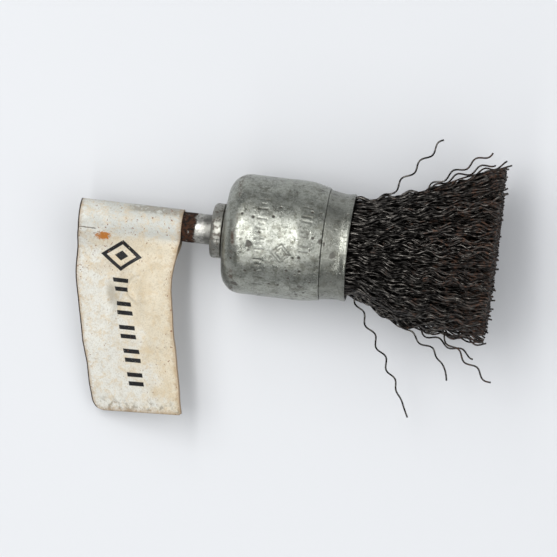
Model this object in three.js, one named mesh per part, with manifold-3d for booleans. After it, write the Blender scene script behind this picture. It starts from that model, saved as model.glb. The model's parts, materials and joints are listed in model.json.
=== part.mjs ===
// A shank-mounted end brush of crimped steel wire, with a folded flag label on its shank.
// Millimetres, +Z up. The brush lies on a flat surface at z = 0, resting on the rear shoulder
// of its cup and on the tips of its wires, so that its axis climbs slightly towards +X.
// Inside the tilted group the axis is X: stations are measured along it from the mouth of the
// cup, negative towards the shank and positive towards the tips.

import * as THREE from "three";
import { mergeVertices } from "three/addons/utils/BufferGeometryUtils.js";
import Module from "manifold-3d";

const wasm = await Module();
wasm.setup();

// Driving dimensions
const SHANK_RADIUS = 3;
const SHANK_FREE_LENGTH = 26.3;
const CUP_RADIUS = 12;
const CUP_LENGTH = 25.6;
const CUP_WALL = 0.8;
const TRIM_LENGTH = 28.7;
const TIP_RADIUS = 17.2;
const TIP_REST_DEPTH = 16;
const LABEL_WIDTH = 20.8;
const LABEL_REACH = 38.2;

// Clearances
const FIT_GAP = 0.15;
const PART_GAP = 0.3;

// Sides of the polygons that stand for round sections
const ROUND_SIDES = 32;
const CUP_SIDES = 40;

// Shank, collar and the pieces riveted with them
const COLLAR_RADIUS = 5.5;
const COLLAR_LENGTH = 2.3;
const COLLAR_EDGE = 0.9;
const TENON_RADIUS = 2.5;
const SHANK_CHAMFER = 0.5;
const CUP_REAR = -CUP_LENGTH;
const COLLAR_FRONT = CUP_REAR - FIT_GAP;
const COLLAR_REAR = COLLAR_FRONT - COLLAR_LENGTH;
const SHANK_REAR = COLLAR_REAR - SHANK_FREE_LENGTH;
const WASHER_RADIUS = 5.3;
const WASHER_THICKNESS = 1.2;
const WASHER_REAR = CUP_REAR + CUP_WALL + FIT_GAP;
const WASHER_FRONT = WASHER_REAR + WASHER_THICKNESS;
const PEENED_RADIUS = 3.4;
const PEENED_THICKNESS = 0.7;
const PEENED_CROWN = 0.3;
const TENON_FRONT = WASHER_FRONT + FIT_GAP + PEENED_THICKNESS;

// Cup and mouth band
const SHOULDER_RADIUS = 4;
const SHOULDER_DOME_DEG = 16;
const FLOOR_DOME = 0.4;
const TAPER_START = -10.5;
const TAPER_POWER = 1.6;
const RIM_STATION = -5.2;
const RIM_RADIUS = 11.25;
const RIM_WALL = 0.4;
const BAND_REAR = -13;
const BAND_WALL = 0.65;
const BAND_STEP_RADIUS = 11.05;
const BAND_WAIST_STATION = -1.6;
const BAND_WAIST_RADIUS = 10.6;
const LIP_STATION = -0.35;
const LIP_RADIUS = 10.8;

// Wire bundle
const TUFT_COUNT = 16;
const TUFT_STEPS = 13;
const TUFT_ARC_STEPS = 3;
const TUFT_REAR = TENON_FRONT + PART_GAP;
const TIP_OFFSET = 2.35;
const EARLY_OPENING_LENGTH = 13;
const LATE_OPENING_POWER = 1.35;
const NECK_RADIUS = LIP_RADIUS - BAND_WALL - 2 * PART_GAP;
const CORE_RADIUS = 2.4;
const RING_MEAN_RADIUS = 6.2;
const RING_WIRE_RADIUS = 1.2;
const RING_STATION = TUFT_REAR + 2 + RING_WIRE_RADIUS;

// Crimped wire
const WIRE_RADIUS = 0.175;
const CRIMP_LENGTH = 5.5;
const CRIMP_HEIGHT = 0.4;
const STRAY_SIDES = 5;
const STRAY_STEPS_PER_WAVE = 7;
const CRIMP_FADE = 0.3;

// Label: a strip folded round the shank, its two plies stuck together into one flag
const LABEL_FRONT = COLLAR_REAR - 6;
const PLY_THICKNESS = 0.3;
const LOOP_INNER_RADIUS = SHANK_RADIUS + PART_GAP;
const LOOP_REACH = 6.5;
const LOOP_STEPS = 22;
const FLAG_TWIST_DEG = -27;
const FLAG_TWIST_POWER = 0.3;
const FLAG_SHIFT = 6;
const FLAG_DROOP = 3.4;
const FLAG_DROOP_POWER = 1.6;
const FLAG_STEPS = 14;
const FLAG_SKEW = 0.06;
const REAR_CORNER_RADIUS = 2.4;
const FRONT_CORNER_RADIUS = 0.8;

// The surface that the brush lies on touches the cup's shoulder and the lowest wire tips.
const SHOULDER_STATION = CUP_REAR + FLOOR_DOME + SHOULDER_RADIUS;
const TILT = Math.atan2(TIP_REST_DEPTH - CUP_RADIUS, TRIM_LENGTH - SHOULDER_STATION);

const degrees = THREE.MathUtils.degToRad;
const smoothstep = THREE.MathUtils.smoothstep;
const lerp = THREE.MathUtils.lerp;

function steel(color, roughness) {
  return new THREE.MeshStandardMaterial({ color, roughness, metalness: 1 });
}

function namedMesh(name, geometry, material) {
  const mesh = new THREE.Mesh(geometry, material);
  mesh.name = name;
  return mesh;
}

// A piece turned or drawn about the axis. Profile points are [station, radius]: along the
// outside from rear to front, then back along the inside where the piece is hollow.
function turned(profile, sides) {
  const points = profile.map(([station, radius]) => new THREE.Vector2(radius, station));
  return new THREE.LatheGeometry(points, sides).rotateZ(-Math.PI / 2);
}

// Points of an arc in a profile. Angle 0 points forwards along the axis, 90 away from it.
function profileArc(station, radius, arcRadius, fromDeg, toDeg, steps) {
  return Array.from({ length: steps + 1 }, (_, i) => {
    const angle = degrees(lerp(fromDeg, toDeg, i / steps));
    return [station + arcRadius * Math.cos(angle), radius + arcRadius * Math.sin(angle)];
  });
}

// Moves every vertex of a geometry by a rule that takes and changes a Vector3.
function reshape(geometry, rule) {
  const positions = geometry.attributes.position;
  const point = new THREE.Vector3();
  for (let i = 0; i < positions.count; i += 1) {
    point.fromBufferAttribute(positions, i);
    rule(point);
    positions.setXYZ(i, point.x, point.y, point.z);
  }
  return geometry;
}

function toSolid(geometry) {
  const bare = geometry.clone();
  bare.deleteAttribute("normal");
  bare.deleteAttribute("uv");
  const merged = mergeVertices(bare, 1e-4);
  const vertProperties = new Float32Array(merged.attributes.position.array);
  const triVerts = new Uint32Array(merged.index.array);
  return new wasm.Manifold(new wasm.Mesh({ numProp: 3, vertProperties, triVerts }));
}

function toGeometry(solid) {
  const mesh = solid.getMesh();
  const geometry = new THREE.BufferGeometry();
  geometry.setAttribute("position", new THREE.Float32BufferAttribute(mesh.vertProperties, 3));
  geometry.setIndex(new THREE.BufferAttribute(new Uint32Array(mesh.triVerts), 1));
  geometry.computeVertexNormals();
  return geometry;
}

// Round rod with a chamfered rear end, a thinner tenon through the cup floor, and a peened head
function shank() {
  const neck = COLLAR_FRONT - FIT_GAP;
  const peenRear = TENON_FRONT - PEENED_THICKNESS;
  return turned([
    [SHANK_REAR, 0],
    [SHANK_REAR, SHANK_RADIUS - SHANK_CHAMFER],
    [SHANK_REAR + SHANK_CHAMFER, SHANK_RADIUS],
    [neck, SHANK_RADIUS],
    [neck, TENON_RADIUS],
    [peenRear, TENON_RADIUS],
    [peenRear, PEENED_RADIUS],
    [TENON_FRONT - PEENED_CROWN, PEENED_RADIUS],
    [TENON_FRONT, TENON_RADIUS],
    [TENON_FRONT, 0],
  ], ROUND_SIDES);
}

function shankCollar() {
  const bore = SHANK_RADIUS + FIT_GAP;
  const edgeStation = COLLAR_REAR + COLLAR_EDGE;
  const edgeRadius = COLLAR_RADIUS - COLLAR_EDGE;
  return turned([
    [COLLAR_REAR, bore],
    ...profileArc(edgeStation, edgeRadius, COLLAR_EDGE, 180, 90, 3),
    [COLLAR_FRONT, COLLAR_RADIUS],
    [COLLAR_FRONT, bore],
    [COLLAR_REAR, bore],
  ], ROUND_SIDES);
}

// Outside radius of the cup's crimped taper, easing from full size down to its rim
function taperRadius(station) {
  const along = (station - TAPER_START) / (RIM_STATION - TAPER_START);
  return CUP_RADIUS - (CUP_RADIUS - RIM_RADIUS) * along ** TAPER_POWER;
}

// Drawn cup: domed floor with a hole for the tenon, rounded shoulder, straight wall, tapered rim
function cupShell() {
  const hole = TENON_RADIUS + FIT_GAP;
  const centreRadius = CUP_RADIUS - SHOULDER_RADIUS;
  const domeDeg = 180 - SHOULDER_DOME_DEG;
  const taperSteps = 3;
  const taper = Array.from({ length: taperSteps + 1 }, (_, i) =>
    lerp(TAPER_START, RIM_STATION, i / taperSteps));
  const wallAt = (i) => lerp(CUP_WALL, RIM_WALL, i / taperSteps);
  return turned([
    [CUP_REAR, hole],
    [CUP_REAR, COLLAR_RADIUS],
    ...profileArc(SHOULDER_STATION, centreRadius, SHOULDER_RADIUS, domeDeg, 90, 5),
    ...taper.map((station) => [station, taperRadius(station)]),
    ...taper.map((station, i) => [station, taperRadius(station) - wallAt(i)]).reverse(),
    ...profileArc(SHOULDER_STATION, centreRadius, SHOULDER_RADIUS - CUP_WALL, 90, domeDeg, 4),
    [CUP_REAR + CUP_WALL, COLLAR_RADIUS],
    [CUP_REAR + CUP_WALL, hole],
    [CUP_REAR, hole],
  ], CUP_SIDES);
}

// Sleeve held inside the cup's taper, whose front part shows with a waist and a small lip
function mouthBand() {
  const tucked = RIM_RADIUS - RIM_WALL - FIT_GAP;
  const backStation = RIM_STATION + FIT_GAP;
  const stepStation = backStation + FIT_GAP;
  const halfWay = lerp(stepStation, BAND_WAIST_STATION, 0.5);
  return turned([
    [BAND_REAR, tucked],
    [backStation, tucked],
    [stepStation, BAND_STEP_RADIUS],
    [halfWay, lerp(BAND_STEP_RADIUS, BAND_WAIST_RADIUS, 0.75)],
    [BAND_WAIST_STATION, BAND_WAIST_RADIUS],
    [LIP_STATION, LIP_RADIUS],
    [0, LIP_RADIUS - BAND_WALL / 2],
    [LIP_STATION, LIP_RADIUS - BAND_WALL],
    [BAND_WAIST_STATION, BAND_WAIST_RADIUS - BAND_WALL],
    [BAND_REAR, tucked - BAND_WALL],
    [BAND_REAR, tucked],
  ], CUP_SIDES);
}

function clampWasher() {
  const bore = TENON_RADIUS + FIT_GAP;
  return turned([
    [WASHER_REAR, bore],
    [WASHER_REAR, WASHER_RADIUS],
    [WASHER_FRONT, WASHER_RADIUS],
    [WASHER_FRONT, bore],
    [WASHER_REAR, bore],
  ], ROUND_SIDES);
}

// A torus about the axis, at the retaining ring's station
function ringTorus(wireRadius) {
  const torus = new THREE.TorusGeometry(RING_MEAN_RADIUS, wireRadius, 8, 32);
  return torus.rotateY(Math.PI / 2).translate(RING_STATION, 0, 0);
}

// How far the bundle has opened at a station: 0 at the mouth, 1 at the trimmed end. The wires
// on the -Y side open early and then run straight; those on the +Y side keep opening.
function opening(station, clock) {
  const along = Math.max(station, 0) / TRIM_LENGTH;
  const early = (1 - Math.cos(clock)) / 2;
  return lerp(along ** LATE_OPENING_POWER, smoothstep(station, 0, EARLY_OPENING_LENGTH), early);
}

// Outside radius of the bundle; clock is the angle round the axis from the +Y side. The
// trimmed end is a circle that is set off from the axis to that side.
function bundleRadius(station, clock) {
  const sideways = TIP_OFFSET * Math.sin(clock);
  const tip = TIP_OFFSET * Math.cos(clock) + Math.sqrt(TIP_RADIUS ** 2 - sideways ** 2);
  return lerp(NECK_RADIUS, tip, opening(station, clock));
}

// How low a wire can lie at a station before it meets the surface under the brush
function floorDepth(station) {
  return -CUP_RADIUS - (station - SHOULDER_STATION) * Math.tan(TILT);
}

// One tuft: the wires in one sector, from the cup's floor to the trimmed end, with a tunnel
// where they are doubled over the retaining ring
function wireTuft(index, ringChannel) {
  const centreClock = (2 * Math.PI * index) / TUFT_COUNT;
  const halfClock = Math.PI / TUFT_COUNT;
  const corner = (radius, side) => {
    const clock = centreClock + side * (halfClock - Math.asin(PART_GAP / 2 / radius));
    return new THREE.Vector2(radius * Math.cos(clock), radius * Math.sin(clock));
  };
  const outline = [corner(CORE_RADIUS, 1), corner(CORE_RADIUS, -1)];
  for (let i = 0; i <= TUFT_ARC_STEPS; i += 1) {
    outline.push(corner(NECK_RADIUS, lerp(-1, 1, i / TUFT_ARC_STEPS)));
  }
  const depth = TRIM_LENGTH - TUFT_REAR;
  const sector = new THREE.ExtrudeGeometry(new THREE.Shape(outline), {
    depth,
    steps: TUFT_STEPS,
    bevelEnabled: false,
  });
  reshape(sector, (point) => {
    const station = TUFT_REAR + point.z;
    const clock = Math.atan2(point.y, point.x);
    const flare = bundleRadius(station, clock) / NECK_RADIUS;
    point.set(station, point.x * flare, Math.max(point.y * flare, floorDepth(station)));
  });
  return toGeometry(toSolid(sector).subtract(ringChannel));
}

// Centre line of a stray wire: a bent spine with the crimp's wave laid across it
class CrimpedCurve extends THREE.Curve {
  constructor(start, bend, end, straightFrom) {
    super();
    this.spine = new THREE.QuadraticBezierCurve3(start, bend, end);
    this.waves = this.spine.getLength() / CRIMP_LENGTH;
    this.straightFrom = straightFrom;
    const across = end.clone().sub(start).cross(new THREE.Vector3(0, 0, 1));
    this.side = across.normalize();
  }

  getPoint(t, target = new THREE.Vector3()) {
    this.spine.getPoint(t, target);
    const fade = 1 - smoothstep(t, this.straightFrom, this.straightFrom + CRIMP_FADE);
    const wave = CRIMP_HEIGHT * fade * Math.sin(2 * Math.PI * this.waves * t);
    return target.addScaledVector(this.side, wave);
  }
}

// A stray leaves the bundle's side at a station and clock angle, and ends out to the side.
// "out" is along Y, "up" along Z, and bow pushes its middle forwards.
function strayWire({ station, clockDeg, end, bow = 0, straightFrom = 1 }) {
  const clock = degrees(clockDeg);
  const radius = bundleRadius(station, clock) + CRIMP_HEIGHT + 2 * PART_GAP;
  const start = new THREE.Vector3(station, radius * Math.cos(clock), radius * Math.sin(clock));
  const finish = new THREE.Vector3(end.station, end.out, end.up);
  const bend = start.clone().lerp(finish, 0.5);
  bend.x += bow;
  const curve = new CrimpedCurve(start, bend, finish, straightFrom);
  const section = Array.from({ length: STRAY_SIDES }, (_, i) => {
    const angle = (2 * Math.PI * i) / STRAY_SIDES;
    return new THREE.Vector2(WIRE_RADIUS * Math.cos(angle), WIRE_RADIUS * Math.sin(angle));
  });
  return new THREE.ExtrudeGeometry(new THREE.Shape(section), {
    extrudePath: curve,
    steps: Math.round(curve.waves * STRAY_STEPS_PER_WAVE),
    bevelEnabled: false,
  });
}

const STRAYS = [
  { station: 7, clockDeg: 12, end: { station: 16.3, out: 23, up: 2.5 } },
  { station: 15, clockDeg: 18, end: { station: 26, out: 21.6, up: 7 } },
  { station: 15.8, clockDeg: -14, end: { station: 26.2, out: 20.2, up: -5.5 } },
  { station: 2.4, clockDeg: 176, end: { station: 14.8, out: -32.8, up: -6 }, bow: 1.2, straightFrom: 0.6 },
  { station: 13, clockDeg: 166, end: { station: 22, out: -24.4, up: 2 }, bow: 2.6, straightFrom: 0.5 },
  { station: 15.8, clockDeg: -168, end: { station: 26.8, out: -19, up: -4 } },
  { station: 20.5, clockDeg: 172, end: { station: 30.9, out: -23.6, up: 1.5 }, bow: -0.6 },
  { station: 20, clockDeg: -160, end: { station: 28.6, out: -16.9, up: -7.5 } },
];

// Section of the label as a plane outline: x runs from the shank's axis out along the flag.
// It goes round the shank as a teardrop of the given radius and closes at the given reach.
function teardrop(radius, reach, halfGap) {
  const leave = Math.acos(radius / reach);
  const round = Array.from({ length: LOOP_STEPS + 1 }, (_, i) => {
    const angle = lerp(leave, 2 * Math.PI - leave, i / LOOP_STEPS);
    return new THREE.Vector2(radius * Math.cos(angle), radius * Math.sin(angle));
  });
  return [new THREE.Vector2(reach, halfGap), ...round, new THREE.Vector2(reach, -halfGap)];
}

// How far a rounded corner has cut into the flag's edge at a distance from the shank's axis
function cornerInset(distance, cornerRadius) {
  const into = Math.max(0, distance - (LABEL_REACH - cornerRadius));
  return cornerRadius - Math.sqrt(Math.max(0, cornerRadius ** 2 - into ** 2));
}

// The flag turns as soon as it leaves the shank, its front edge up, and its end leans forwards.
function bendFlag(point) {
  const distance = Math.max(point.x, 0);
  const along = distance / LABEL_REACH;
  const rearInset = cornerInset(distance, REAR_CORNER_RADIUS);
  const frontInset = cornerInset(distance, FRONT_CORNER_RADIUS);
  const across = lerp(frontInset, LABEL_WIDTH - rearInset, point.z / LABEL_WIDTH) - LABEL_WIDTH / 2;
  const beyond = Math.max(distance - SHANK_RADIUS, 0) / (LABEL_REACH - SHANK_RADIUS);
  const start = smoothstep(distance, SHANK_RADIUS, LOOP_REACH);
  const twist = degrees(FLAG_TWIST_DEG) * start * beyond ** FLAG_TWIST_POWER;
  const droop = FLAG_DROOP * along ** FLAG_DROOP_POWER;
  const shift = FLAG_SHIFT * along ** 2;
  const station = shift - across * Math.cos(twist) + point.y * Math.sin(twist);
  const up = across * Math.sin(twist) + point.y * Math.cos(twist) - droop;
  const out = point.x + FLAG_SKEW * across * along ** 2;
  point.set(LABEL_FRONT - LABEL_WIDTH / 2 + station, -out, up);
}

function labelTag() {
  const outline = teardrop(LOOP_INNER_RADIUS + PLY_THICKNESS, LOOP_REACH, PLY_THICKNESS);
  const free = Array.from({ length: FLAG_STEPS }, (_, i) =>
    lerp(LOOP_REACH, LABEL_REACH, (i + 1) / FLAG_STEPS));
  free.forEach((distance) => outline.push(new THREE.Vector2(distance, -PLY_THICKNESS)));
  free.reverse().forEach((distance) => outline.push(new THREE.Vector2(distance, PLY_THICKNESS)));
  const section = new THREE.Shape(outline);
  const holeReach = LOOP_REACH - 2 * PLY_THICKNESS;
  section.holes.push(new THREE.Path(teardrop(LOOP_INNER_RADIUS, holeReach, PLY_THICKNESS / 3)));
  const strip = new THREE.ExtrudeGeometry(section, {
    depth: LABEL_WIDTH,
    steps: 6,
    bevelEnabled: false,
  });
  return reshape(strip, bendFlag);
}

const zinc = () => steel(0x8f9692, 0.42);
const darkSteel = () => steel(0x3a342e, 0.5);
const plainSteel = () => steel(0x77716a, 0.55);

const brush = new THREE.Group();
brush.rotation.y = -TILT;

brush.add(namedMesh("shank", shank(), plainSteel()));
brush.add(namedMesh("shank_collar", shankCollar(), zinc()));
brush.add(namedMesh("cup_shell", cupShell(), zinc()));
brush.add(namedMesh("mouth_band", mouthBand(), zinc()));
brush.add(namedMesh("clamp_washer", clampWasher(), plainSteel()));
brush.add(namedMesh("retaining_ring", ringTorus(RING_WIRE_RADIUS), plainSteel()));

const ringChannel = toSolid(ringTorus(RING_WIRE_RADIUS + PART_GAP));
for (let index = 0; index < TUFT_COUNT; index += 1) {
  const name = `wire_tuft_${String(index + 1).padStart(2, "0")}`;
  brush.add(namedMesh(name, wireTuft(index, ringChannel), darkSteel()));
}
STRAYS.forEach((stray, index) => {
  brush.add(namedMesh(`stray_wire_${index + 1}`, strayWire(stray), darkSteel()));
});

const labelPaper = new THREE.MeshStandardMaterial({ color: 0xeee6d6, roughness: 0.6, metalness: 0 });
brush.add(namedMesh("label_tag", labelTag(), labelPaper));

// The origin is under the middle of the whole object, on the surface it lies on.
const model = new THREE.Group();
model.add(brush);
model.updateMatrixWorld(true);
const bounds = new THREE.Box3().setFromObject(model, true);
const middle = bounds.getCenter(new THREE.Vector3());
brush.position.set(-middle.x, -middle.y, -bounds.min.z);

export default model;
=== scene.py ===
import json
import math

import bmesh
import bpy
import numpy as np
from mathutils import Matrix, Vector


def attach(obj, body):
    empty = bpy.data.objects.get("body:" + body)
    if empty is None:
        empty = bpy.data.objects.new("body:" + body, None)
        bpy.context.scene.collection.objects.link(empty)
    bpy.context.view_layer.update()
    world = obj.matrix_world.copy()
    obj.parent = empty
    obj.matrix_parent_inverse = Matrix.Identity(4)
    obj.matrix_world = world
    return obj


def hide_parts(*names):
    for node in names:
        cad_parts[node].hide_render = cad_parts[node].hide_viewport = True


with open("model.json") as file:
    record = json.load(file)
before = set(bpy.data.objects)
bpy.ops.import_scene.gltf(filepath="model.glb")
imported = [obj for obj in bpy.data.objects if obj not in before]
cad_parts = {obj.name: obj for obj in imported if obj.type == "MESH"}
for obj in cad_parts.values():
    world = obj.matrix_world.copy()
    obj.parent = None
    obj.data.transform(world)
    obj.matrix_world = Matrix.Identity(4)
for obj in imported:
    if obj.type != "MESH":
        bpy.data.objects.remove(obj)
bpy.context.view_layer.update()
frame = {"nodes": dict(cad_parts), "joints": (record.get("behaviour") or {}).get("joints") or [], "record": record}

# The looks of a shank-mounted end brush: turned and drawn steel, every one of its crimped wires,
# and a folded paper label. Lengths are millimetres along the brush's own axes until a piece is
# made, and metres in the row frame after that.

MM = 0.001
TURN = 2 * math.pi

# The brush's own axes. Stations are measured along AXIS from the mouth of the cup, negative
# towards the shank. A clock angle is measured round the axis, from SIDE towards UP.
SHANK_END = Vector(frame["record"]["mounts"][0]["pos_m"])
AXIS = -Vector(frame["joints"][0]["axis"]).normalized()
SIDE = Vector((0.0, 1.0, 0.0))
UP = AXIS.cross(SIDE)
BASIS = np.array([AXIS, SIDE, UP])


def local_points(node, origin):
    """A CAD node's points along the brush's axes, in millimetres from origin."""
    points = np.array([v.co for v in frame["nodes"][node].data.vertices])
    return (points - np.array(origin)) @ BASIS.T / MM


MOUTH = SHANK_END + AXIS * MM * local_points("mouth_band", SHANK_END)[:, 0].max()


def span(node):
    """The lowest and highest station of a CAD node."""
    stations = local_points(node, MOUTH)[:, 0]
    return float(stations.min()), float(stations.max())


def girth(node, low=-math.inf, high=math.inf):
    """The largest radius of a CAD node about the axis, between two stations."""
    points = local_points(node, MOUTH)
    points = points[(points[:, 0] > low) & (points[:, 0] < high)]
    return float(np.hypot(points[:, 1], points[:, 2]).max())


def to_row(points):
    """Points (station, side, up) in millimetres, as metres in the row frame."""
    return np.asarray(points, float) @ BASIS * MM + np.array(MOUTH)


def smoothstep(value, low, high):
    t = np.clip((np.asarray(value, float) - low) / (high - low), 0, 1)
    return t * t * (3 - 2 * t)


def lerp(start, end, t):
    return start + (end - start) * t


def ripples(points, wavelength, seed, waves=10):
    """A smooth random field, mostly between -1 and 1: plane waves in random directions."""
    draw = np.random.default_rng(seed)
    directions = draw.normal(size=(waves, points.shape[1]))
    directions /= np.linalg.norm(directions, axis=1, keepdims=True)
    lengths = wavelength * draw.uniform(0.7, 1.5, waves)
    phases = draw.uniform(0, TURN, waves)
    angles = points @ (directions / lengths[:, None]).T * TURN + phases
    return np.sin(angles).sum(1) / math.sqrt(2 * waves)


SHANK_REAR, TENON_FRONT = span("shank")
SHANK_RADIUS = girth("shank", high=SHANK_REAR + 2)
COLLAR_REAR, COLLAR_FRONT = span("shank_collar")
COLLAR_RADIUS = girth("shank_collar")
CUP_REAR, RIM_STATION = span("cup_shell")
CUP_RADIUS = girth("cup_shell")
BAND_REAR = span("mouth_band")[0]
TRIM_STATION = span("wire_tuft_01")[1]
TUFTS = sorted(name for name in frame["nodes"] if name.startswith("wire_tuft"))
STRAYS = sorted(name for name in frame["nodes"] if name.startswith("stray_wire"))


# ---------------------------------------------------------------- materials

# Stations of the rust: the line round the cup's shoulder, and where the shank's plate begins
CUP_RUST_LINE = -22.7
SHANK_RUST_FRONT = -30.9


class Shader:
    """A material's node tree, with short calls for the nodes that the materials here use."""

    def __init__(self, name):
        self.material = bpy.data.materials.new(name)
        self.material.use_nodes = True
        self.tree = self.material.node_tree
        self.surface = self.tree.nodes["Principled BSDF"]
        coordinates = self.add("ShaderNodeTexCoord")
        self.place = self.vector("SCALE", coordinates.outputs["Object"], scale=1 / MM)

    def add(self, kind, **settings):
        node = self.tree.nodes.new(kind)
        for key, value in settings.items():
            setattr(node, key, value)
        return node

    def feed(self, socket, value):
        if isinstance(value, bpy.types.NodeSocket):
            self.tree.links.new(value, socket)
        else:
            socket.default_value = value

    def vector(self, operation, a, b=None, scale=None):
        node = self.add("ShaderNodeVectorMath", operation=operation)
        self.feed(node.inputs[0], a)
        if b is not None:
            self.feed(node.inputs[1], b)
        if scale is not None:
            self.feed(node.inputs["Scale"], scale)
        return node.outputs[0]

    def math(self, operation, a, b=0.0, clamp=False):
        node = self.add("ShaderNodeMath", operation=operation, use_clamp=clamp)
        self.feed(node.inputs[0], a)
        self.feed(node.inputs[1], b)
        return node.outputs[0]

    def times(self, a, b):
        return self.math("MULTIPLY", a, b)

    def plus(self, a, b):
        return self.math("ADD", a, b)

    def minus(self, a, b):
        return self.math("SUBTRACT", a, b)

    def greater(self, a, b):
        return self.math("MAXIMUM", a, b)

    def inverse(self, value):
        """0 where a value is 1 and 1 where it is 0."""
        return self.math("SUBTRACT", 1.0, value)

    def stretched(self, along_x, along_y, along_z):
        """The place in millimetres, shrunk along each row axis by a factor."""
        return self.vector("MULTIPLY", self.place, (along_x, along_y, along_z))

    def noise(self, size, detail=3.0, roughness=0.55, distortion=0.0, at=None):
        """Noise whose blotches are about size millimetres across, from 0 to 1."""
        node = self.add("ShaderNodeTexNoise")
        self.feed(node.inputs["Vector"], self.place if at is None else at)
        self.feed(node.inputs["Scale"], 1 / size)
        self.feed(node.inputs["Detail"], detail)
        self.feed(node.inputs["Roughness"], roughness)
        self.feed(node.inputs["Distortion"], distortion)
        return node.outputs[0]

    def cells(self, size):
        """0 at the middle of each of many cells about size millimetres across, more further out."""
        node = self.add("ShaderNodeTexVoronoi")
        self.feed(node.inputs["Vector"], self.place)
        self.feed(node.inputs["Scale"], 1 / size)
        return node.outputs["Distance"]

    def between(self, value, low, high):
        """0 below low and 1 above high, with a smooth step; low may be the larger."""
        node = self.add("ShaderNodeMapRange", interpolation_type="SMOOTHSTEP")
        self.feed(node.inputs["Value"], value)
        self.feed(node.inputs["From Min"], low)
        self.feed(node.inputs["From Max"], high)
        return node.outputs["Result"]

    def spread(self, value, low, high, from_low=0.0, from_high=1.0):
        """A value that runs from from_low to from_high, stretched to run from low to high."""
        node = self.add("ShaderNodeMapRange")
        self.feed(node.inputs["Value"], value)
        self.feed(node.inputs["From Min"], from_low)
        self.feed(node.inputs["From Max"], from_high)
        self.feed(node.inputs["To Min"], low)
        self.feed(node.inputs["To Max"], high)
        return node.outputs["Result"]

    def oval(self, x, y, middle_x, middle_y, reach_x, reach_y):
        """0 at the middle of an oval and 1 at its edge."""
        u = self.math("DIVIDE", self.minus(x, middle_x), reach_x)
        v = self.math("DIVIDE", self.minus(y, middle_y), reach_y)
        return self.math("SQRT", self.plus(self.times(u, u), self.times(v, v)))

    def mix(self, share, a, b):
        """Colour a where share is 0 and b where it is 1."""
        node = self.add("ShaderNodeMix", data_type="RGBA")
        self.feed(node.inputs[0], share)
        self.feed(node.inputs[6], a if isinstance(a, bpy.types.NodeSocket) else (*a, 1.0))
        self.feed(node.inputs[7], b if isinstance(b, bpy.types.NodeSocket) else (*b, 1.0))
        return node.outputs[2]

    def tint(self, colour, share, strength, other):
        """A colour mixed with another where share is 1, as far as strength says."""
        return self.mix(self.times(share, strength), colour, other)

    def attribute(self, name):
        return self.add("ShaderNodeAttribute", attribute_name=name).outputs["Fac"]

    def bump(self, height, distance, strength=1.0, under=None):
        """A normal from a height that spans about distance millimetres."""
        node = self.add("ShaderNodeBump")
        self.feed(node.inputs["Height"], height)
        self.feed(node.inputs["Distance"], distance * MM)
        self.feed(node.inputs["Strength"], strength)
        if under is not None:
            self.feed(node.inputs["Normal"], under)
        return node.outputs[0]

    def finish(self, colour, roughness, metallic, normal=None, **constants):
        self.feed(self.surface.inputs["Base Color"], colour)
        self.feed(self.surface.inputs["Roughness"], roughness)
        self.feed(self.surface.inputs["Metallic"], metallic)
        if normal is not None:
            self.feed(self.surface.inputs["Normal"], normal)
        for label, value in constants.items():
            self.surface.inputs[label.replace("_", " ")].default_value = value
        return self.material


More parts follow.
